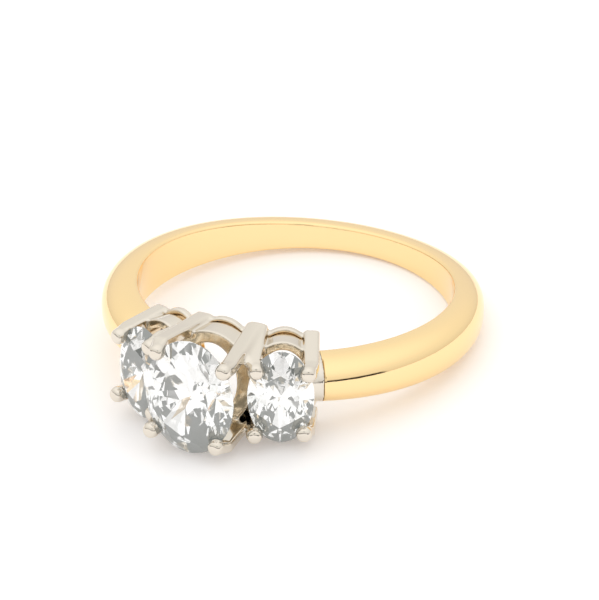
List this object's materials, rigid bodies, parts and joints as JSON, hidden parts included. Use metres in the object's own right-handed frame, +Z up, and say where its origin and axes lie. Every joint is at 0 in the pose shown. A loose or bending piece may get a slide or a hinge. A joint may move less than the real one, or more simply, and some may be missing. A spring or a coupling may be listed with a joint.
{
  "type": "three stone ring",
  "caption": "Finger ring with a half round band, tapering to the back, and a head of claw baskets holding oval brilliants in a row, lying on its side.",
  "frame": {"origin": "on the table under the middle of the ring's box", "axes": "+Z up from the table on which the ring lies, -Y towards the head and its stones, +X to the right as the head is looked at"},
  "size_m": [0.0202, 0.0238, 0.0065],
  "materials": {
    "yellow_gold": "polished 18 carat yellow gold",
    "white_gold": "polished white gold with rhodium plating",
    "diamond": "faceted and polished diamond"
  },
  "bodies": {
    "root": {"shank": "yellow_gold", "head": "white_gold", "stone_middle": "diamond", "stone_left": "diamond", "stone_right": "diamond"}
  },
  "joints": []
}
